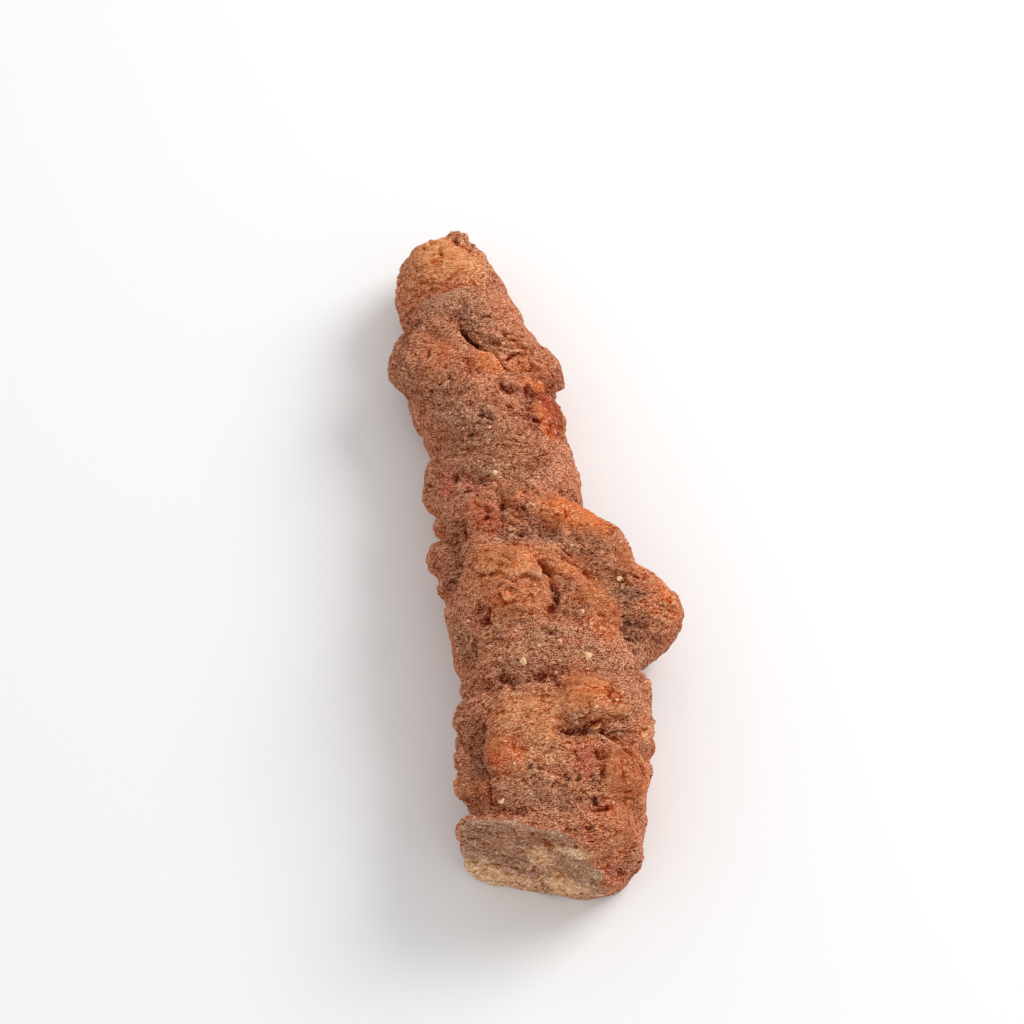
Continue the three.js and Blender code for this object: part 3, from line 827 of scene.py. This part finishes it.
def stoneColour(n, bent):
    # brown to salmon all over, with ragged patches of the other colours, the broken face, and painted shade
    # in the hollows
    shade = {name: linear(code) for name, code in skinColours.items()}
    size = patternSizes
    broad = n.noise(bent, size["broad"], 4, 0.6)
    patch = n.noise(bent, size["patch"], 5, 0.7)
    unsure = n.math("MULTIPLY", n.math("SUBTRACT", patch, 0.5), 3.2)
    colour = n.mix(n.span(broad, 0.36, 0.62), shade["brown"], shade["salmon"])
    colour = n.mix(n.span(patch, 0.46, 0.7, 0, 0.6), colour, shade["pale"])
    stain = n.noise(bent, size["broad"] / 2, 5, 0.7)
    colour = n.mix(n.span(stain, 0.5, 0.66, 0, 0.3), colour, shade["orange"])
    colour = n.mix(n.span(stain, 0.5, 0.34, 0, 0.15), colour, shade["umber"])
    for zone, most in patchCover.items():
        share = n.math("ADD", n.attribute(zone), unsure)
        colour = n.mix(n.span(share, 0.05, 1.15, 0, most), colour, shade[zone])
    face = shade["facePlum"]
    for zone in ("faceTan", "faceGrey"):
        share = n.math("ADD", n.attribute(zone), unsure)
        face = n.mix(n.span(share, 0, 0.9, 0, 0.95), face, shade[zone])
    share = n.add((1, n.attribute("brokenFace")), (0.45, unsure))
    colour = n.mix(n.span(share, 0.35, 0.75), colour, face)
    # painted shade: where the relief sinks into hollows, the colour is mixed towards dark brown
    hollow = n.add(
        (1, n.attribute("broadRelief")), (2, n.attribute("fineRelief")), (0.2, unsure),
        (0.6, n.attribute("brokenFace")),
    )
    return n.mix(n.span(hollow, -0.9, -0.25, 0.22, 0), colour, shade["hollowShade"])


def stoneTone(n, place, bent, across, evenness):
    # above 0 lightens, below 0 darkens
    size, strength = patternSizes, patternStrength
    dashed = n.noise(n.stretch(bent, (0.2, 1, 0.2)), size["dash"], 2, 0.8)
    finest = n.math("ADD", n.noise(place, size["finest"], 2, 0.8), dashed)
    streak = n.noise(across, size["streak"], 5, 0.8)
    grain = n.chance(place, size["grain"])[0]
    crumb = n.math("SUBTRACT", n.chance(bent, size["crumb"])[1], 0.5)
    crumb = n.math("MULTIPLY", n.math("POWER", n.math("ABSOLUTE", crumb), 2), n.math("SIGN", crumb))
    pattern = n.add(
        (strength["finest"], n.math("SUBTRACT", finest, 1)),
        (strength["streak"], n.math("SUBTRACT", streak, 0.5)),
        (strength["grain"], n.math("SUBTRACT", grain, 0.5)), (4 * strength["crumb"], crumb),
    )
    pattern = n.math("MULTIPLY", pattern, n.span(evenness, -0.6, 1, 1.2, 0.45))
    pattern = n.math("MULTIPLY", pattern, n.span(n.noise(bent, size["broad"] / 2, 3), 0.35, 0.65, 0.7, 1.25))
    edge = n.cells(across, size["line"], feature="DISTANCE_TO_EDGE")
    here = n.span(n.noise(place, size["line"], 2), 0.5, 0.6)
    line = n.math("MULTIPLY", n.span(edge, 0.01, 0.07, 1, 0), here)
    layer = n.math("SUBTRACT", n.noise(n.stretch(bent, (0.2, 1, 1)), size["layer"], 4, 0.7), 0.5)
    # painted light and shade: the relief terms lighten bumps and darken hollows, and the crack term darkens
    # along cracks and holes
    tone = n.add(
        (1, pattern), (-strength["line"], line), (-strength["crack"], n.attribute("crack")),
        (strength["fineRelief"], n.attribute("fineRelief")),
        (strength["broadRelief"], n.attribute("broadRelief")),
        (strength["faceLine"], n.math("MULTIPLY", layer, n.attribute("brokenFace"))),
    )
    return n.math("MINIMUM", n.math("MAXIMUM", tone, strength["darkest"]), strength["lightest"])


def gammaOf(n, colour, power):
    node = n.make("ShaderNodeGamma")
    n.plug(colour, node.inputs["Color"])
    node.inputs["Gamma"].default_value = power
    return node.outputs[0]


displayPower = 1 / 2.2          # between linear values and colours as the eye sees them
# how far red, green and blue follow the tone, above 0 and below it
toneSpread = {"MAXIMUM": (0.78, 1.02, 1.1), "MINIMUM": (0.8, 1.08, 1.24)}
deepest = (0.3, 0.11, 0.04)     # no part of the skin is darker than this


def stoneMaterial():
    n = Nodes("ironSandstone")
    place = n.make("ShaderNodeTexCoord").outputs["Object"]
    bent = n.bend(place, patternSizes["bend"], 1.6)
    across = n.stretch(bent, (0.4, 1, 0.4))      # drawn out round the stone
    evenness = n.add((1, n.attribute("smooth")), (1, n.attribute("brokenFace")), (-0.6, n.attribute("sand")))
    tone = stoneTone(n, place, bent, across, evenness)
    # the tone is added to the colour as the eye sees it, so that the darks turn rich and the lights turn pale
    colour = gammaOf(n, stoneColour(n, bent), displayPower)
    for side, spread in toneSpread.items():
        colour = n.vector("ADD", colour, n.vector("MULTIPLY", n.math(side, tone), spread))
    colour = gammaOf(n, n.vector("MAXIMUM", colour, deepest), 1 / displayPower)
    fleck = n.span(n.chance(bent, patternSizes["fleck"])[2], 0.95, 0.98, 0, 0.6)
    fleck = n.math("MULTIPLY", fleck, n.span(n.noise(place, patternSizes["fleckArea"], 2), 0.45, 0.6))
    n.plug(n.mix(fleck, colour, linear(skinColours["fleck"])), n.shader.inputs["Base Color"])

    fine = n.noise(across, patternSizes["streak"], 3, 0.7)
    n.plug(n.span(fine, 0.2, 0.8, *stoneFinish["roughness"]), n.shader.inputs["Roughness"])
    n.shader.inputs["Specular IOR Level"].default_value = stoneFinish["specular"]
    bump = n.make("ShaderNodeBump")
    grain, grainHigh = bumps["grain"]
    crumb, crumbHigh = bumps["crumb"]
    lump, lumpHigh = bumps["lump"]
    height = n.add(
        (grainHigh, n.cells(place, grain)), (crumbHigh, n.cells(bent, crumb)), (bumps["streak"], fine),
        (bumps["finest"], n.noise(place, patternSizes["finest"], 2, 0.8)),
        (lumpHigh, n.noise(place, lump, 3, 0.7)),
    )
    n.plug(height, bump.inputs["Height"])
    n.plug(n.span(evenness, -0.6, 1, *stoneFinish["relief"]), bump.inputs["Strength"])
    bump.inputs["Distance"].default_value = mm
    n.plug(bump.outputs[0], n.shader.inputs["Normal"])
    return n.material


def makeStone():
    stone = makeBlank()
    cutFolds(Skin(stone))
    evenMesh(stone, stoneSettings["fineVoxel"], 1)
    skin = Skin(stone)
    sand = addTexture(skin)
    decimate = stone.modifiers.new("decimate", "DECIMATE")
    decimate.ratio = min(1, stoneSettings["triangles"] / (2 * len(stone.data.polygons)))
    applyModifiers(stone)
    stone.data.materials.append(stoneMaterial())
    for polygon in stone.data.polygons:
        polygon.use_smooth = True
    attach(stone, "root")
    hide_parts("coprolite")
    print("stone shaped with", len(skin.points), "points, kept", len(stone.data.polygons), "faces")
    return skin, sand


# grains and small pebbles that stand a little out of the skin
gritSettings = {
    "count": 900, "radius": (0.14, 0.38), "sunk": 0.45, "flatness": 0.75,
    "colours": ("7a452a", "bd8358", "ecc498"),    # darkest, middle and palest grain
    "lowest": 1.5,             # no grains nearer to the floor than this
    "offSand": 0.15,           # how likely a grain is off the sandy patches
    "pebbleTone": 1.15, "roughness": (0.6, 0.85), "specular": 0.1,
}

# the pebbles that catch the eye: place, radius
pebbles = [
    ((-28.5, -20), 1.0), ((-28.5, 25), 0.9), ((-15.5, 50), 0.6), ((-21, 25), 0.5), ((-21, -40), 0.65),
    ((-50, -35), 0.8), ((-52, 60), 0.5), ((4.5, -5), 0.55), ((6.5, -10), 0.5), ((-19, -50), 0.45),
    ((-26, 5), 0.5), ((-46, 45), 0.35), ((20, -35), 0.4), ((18, -5), 0.4), ((-9, 30), 0.5),
]


def makeGrain(middle, out, radius, corners, faces, first):
    # a jittered twenty-sided grain, flattened against the skin
    shape = []
    for corner in corners:
        spread = Vector(corner) * radius * random.uniform(0.7, 1.2)
        shape.append(middle + spread - out * spread.dot(out) * (1 - gritSettings["flatness"]))
    return shape, [tuple(first + index for index in face) for face in faces]


def gritMaterial():
    darkest, middle, palest = (linear(code) for code in gritSettings["colours"])
    n = Nodes("quartzGrit")
    place = n.make("ShaderNodeTexCoord").outputs["Object"]
    fine = n.noise(place, 0.5, 3, 0.7)
    tone = n.math("ADD", n.attribute("tone"), n.math("SUBTRACT", fine, 0.5))
    colour = n.mix(n.span(tone, 0.1, 0.5), darkest, middle)
    colour = n.mix(n.span(tone, 0.55, 1.0), colour, palest)
    n.plug(colour, n.shader.inputs["Base Color"])
    n.plug(n.span(fine, 0.2, 0.8, *gritSettings["roughness"]), n.shader.inputs["Roughness"])
    n.shader.inputs["Specular IOR Level"].default_value = gritSettings["specular"]
    return n.material


def makeGrit(skin, sand):
    ball = bmesh.new()
    bmesh.ops.create_icosphere(ball, subdivisions=1, radius=1)
    corners = [tuple(corner.co) for corner in ball.verts]
    faces = [[corner.index for corner in face.verts] for face in ball.faces]
    ball.free()

    clear = (breakShare(skin.points) < 0.2) & (skin.points[:, 2] > gritSettings["lowest"])
    likely = np.where(clear, gritSettings["offSand"] + sand ** 2, 0)
    chooser = np.random.default_rng(11)
    picked = chooser.choice(len(skin.points), gritSettings["count"], False, likely / likely.sum())
    least, most = gritSettings["radius"]
    grains = [(index, least + (most - least) * random.random() ** 3) for index in picked]
    for place, radius in pebbles:
        gaps = np.linalg.norm(skin.points - skin.onSkin(place), axis=1)
        grains.append((gaps.argmin(), radius))

    points, sides, tones = [], [], []
    for index, radius in grains:
        out = Vector(skin.normals[index])
        middle = Vector(skin.points[index]) - out * radius * gritSettings["sunk"]
        shape, grainSides = makeGrain(middle, out, radius, corners, faces, len(points))
        points += shape
        sides += grainSides
        tone = gritSettings["pebbleTone"] if radius > most else random.random()
        tones += [tone] * len(shape)
    mesh = bpy.data.meshes.new("grit")
    mesh.from_pydata([point * mm for point in points], [], sides)
    mesh.attributes.new("tone", "FLOAT", "POINT").data.foreach_set("value", tones)
    mesh.materials.append(gritMaterial())
    grit = bpy.data.objects.new("grit", mesh)
    bpy.context.collection.objects.link(grit)
    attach(grit, "root")
    print("grit placed with", len(grains), "grains")


# pale floor
floorSettings = {"size": 6000, "colour": "f4f4f4", "roughness": 0.9}


def makeFloor():
    half = floorSettings["size"] * mm / 2
    mesh = bpy.data.meshes.new("floor")
    corners = [(-half, -half, 0), (half, -half, 0), (half, half, 0), (-half, half, 0)]
    mesh.from_pydata(corners, [], [(0, 1, 2, 3)])
    floor = bpy.data.objects.new("floor", mesh)
    bpy.context.collection.objects.link(floor)
    n = Nodes("paleFloor")
    n.shader.inputs["Base Color"].default_value = linear(floorSettings["colour"])
    n.shader.inputs["Roughness"].default_value = floorSettings["roughness"]
    n.shader.inputs["Specular IOR Level"].default_value = 0.0
    mesh.materials.append(n.material)


# one big soft lamp at the back right, and even light from all round
lightSettings = {
    "turn": 64, "height": 39, "distance": 780, "size": 400, "power": 4.0, "fill": 0.72,
}


def makeLights():
    turn, height = (math.radians(lightSettings[name]) for name in ("turn", "height"))
    way = Vector((math.sin(turn) * math.cos(height), math.cos(turn) * math.cos(height), math.sin(height)))
    data = bpy.data.lights.new("windowLight", "AREA")
    data.shape = "SQUARE"
    data.size = lightSettings["size"] * mm
    data.energy = lightSettings["power"]
    lamp = bpy.data.objects.new("windowLight", data)
    lamp.location = way * lightSettings["distance"] * mm
    lamp.rotation_euler = way.to_track_quat("Z", "Y").to_euler()
    bpy.context.collection.objects.link(lamp)
    world = bpy.data.worlds.new("studio")
    world.use_nodes = True
    background = world.node_tree.nodes["Background"]
    background.inputs["Color"].default_value = (1, 1, 1, 1)
    background.inputs["Strength"].default_value = lightSettings["fill"]
    bpy.context.scene.world = world


cameraSettings = {
    "azimuth": -8, "elevation": 62, "distance": 400, "lens": 85, "sensor": 36, "aim": (-3.5, 4.3, 11),
}


def makeCamera():
    azimuth = math.radians(cameraSettings["azimuth"])
    elevation = math.radians(cameraSettings["elevation"])
    back = Vector((
        math.sin(azimuth) * math.cos(elevation),
        -math.cos(azimuth) * math.cos(elevation),
        math.sin(elevation),
    ))
    data = bpy.data.cameras.new("camera")
    data.lens = cameraSettings["lens"]
    data.sensor_width = cameraSettings["sensor"]
    camera = bpy.data.objects.new("camera", data)
    aim = Vector(cameraSettings["aim"]) * mm
    camera.location = aim + back * cameraSettings["distance"] * mm
    camera.rotation_euler = back.to_track_quat("Z", "Y").to_euler()
    bpy.context.collection.objects.link(camera)
    bpy.context.scene.camera = camera


stoneSkin, sandShare = makeStone()
makeGrit(stoneSkin, sandShare)
makeFloor()
makeLights()
makeCamera()
bpy.context.scene.view_settings.view_transform = "Standard"
print("stage set")
